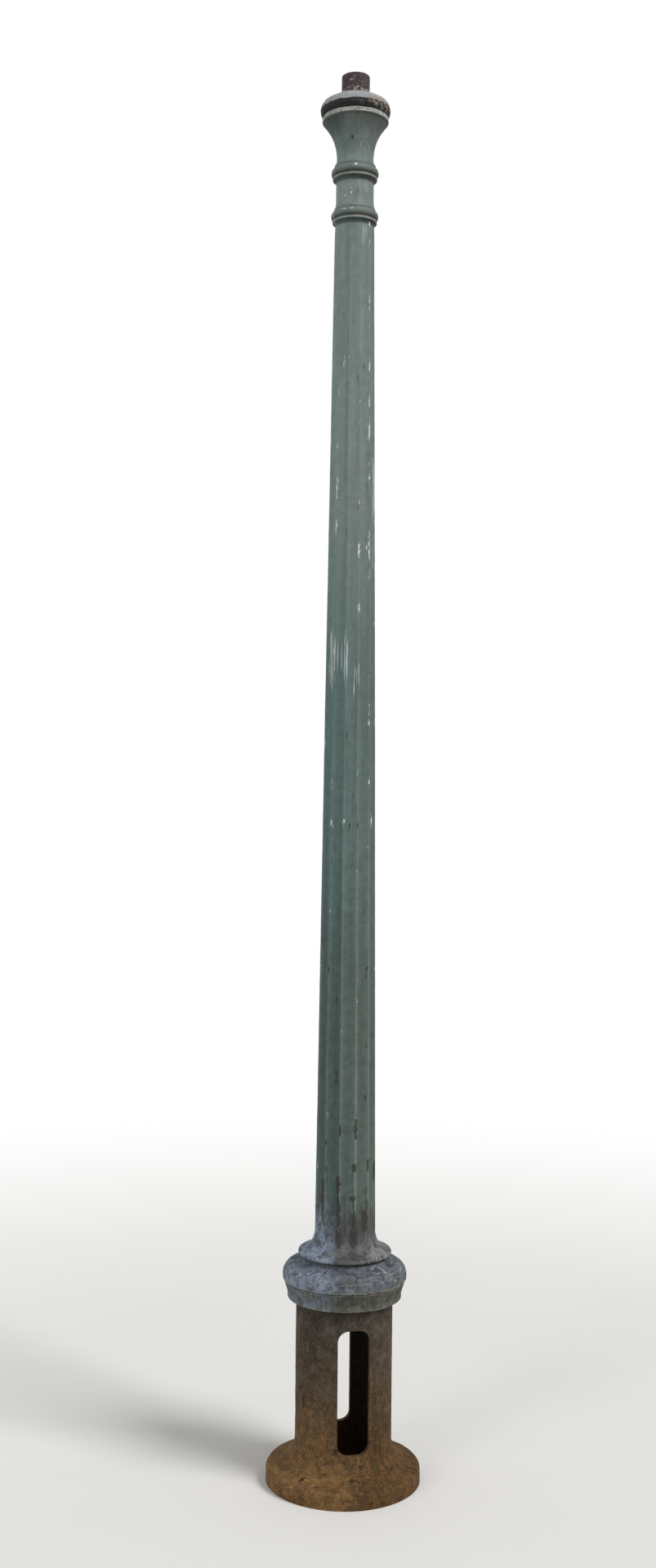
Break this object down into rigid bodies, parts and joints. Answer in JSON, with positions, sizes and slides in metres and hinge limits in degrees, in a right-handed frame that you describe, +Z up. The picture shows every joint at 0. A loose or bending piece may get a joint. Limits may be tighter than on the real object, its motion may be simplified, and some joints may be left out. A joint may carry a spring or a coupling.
{
  "type": "cast iron lamp post",
  "caption": "Tall tapering fluted iron street lamp column with bead rings, bell capital and pipe spigot, on a slotted root tube with a round foot flange and a moulded skirt.",
  "frame": {"origin": "centre of the foot flange's underside, where the post stands", "axes": "+Z up along the column; the two cable slots of the root face -Y and +Y; +X to the right seen from -Y"},
  "size_m": [0.3799, 0.38, 3.4497],
  "materials": {
    "rusted_iron": "rough brown rust, with grey and chalky paint left on the skirt",
    "grey_green_paint": "weathered matt grey-green paint, chipped along the flute edges",
    "cap_iron": "dark rust under flaking pale paint",
    "pipe_iron": "red-brown rust, pitted"
  },
  "bodies": {
    "root": {"root_casting": "rusted_iron", "shaft_casting": "grey_green_paint", "cap_ring": "cap_iron", "spigot": "pipe_iron"}
  },
  "joints": []
}
